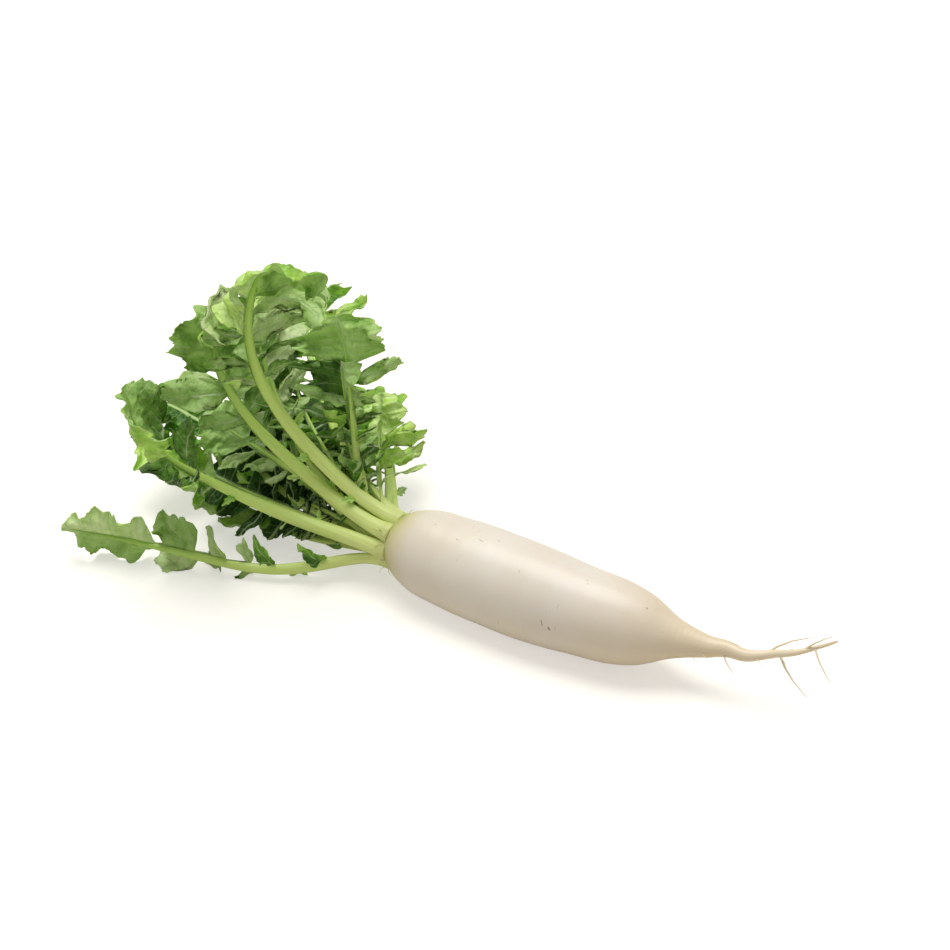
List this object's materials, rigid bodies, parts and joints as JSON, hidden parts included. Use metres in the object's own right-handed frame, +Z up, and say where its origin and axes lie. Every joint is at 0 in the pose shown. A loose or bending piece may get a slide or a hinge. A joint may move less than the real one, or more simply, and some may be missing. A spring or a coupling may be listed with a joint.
{
  "type": "daikon radish",
  "caption": "White daikon radish lying on its side: a long root tapering to a fine tail, with a tuft of pale stalks and toothed green leaves growing from its crown.",
  "frame": {"origin": "centre of the small flat on the root's belly that it rests on, at the surface", "axes": "+X along the root from the crown to the tail, +Z up, the leaves towards -X"},
  "size_m": [0.5231, 0.2366, 0.2347],
  "materials": {
    "root_skin": "smooth waxy skin, cream white",
    "crown_green": "matt, yellow green",
    "stalk_green": "satin, pale green",
    "blade_green": "matt, mid green"
  },
  "bodies": {
    "root": {"root": "root_skin", "crown": "crown_green", "leaf_01_stalk": "stalk_green", "leaf_02_stalk": "stalk_green", "leaf_03_stalk": "stalk_green", "leaf_04_stalk": "stalk_green", "leaf_05_stalk": "stalk_green", "leaf_06_stalk": "stalk_green", "leaf_07_stalk": "stalk_green", "leaf_08_stalk": "stalk_green", "leaf_09_stalk": "stalk_green", "leaf_10_stalk": "stalk_green", "leaf_11_stalk": "stalk_green", "leaf_12_stalk": "stalk_green", "leaf_01_blade": "blade_green", "leaf_02_blade": "blade_green", "leaf_03_blade": "blade_green", "leaf_04_blade": "blade_green", "leaf_05_blade": "blade_green", "leaf_06_blade": "blade_green", "leaf_07_blade": "blade_green", "leaf_08_blade": "blade_green", "leaf_09_blade": "blade_green", "leaf_10_blade": "blade_green", "leaf_11_blade": "blade_green", "leaf_12_blade": "blade_green"}
  },
  "joints": []
}
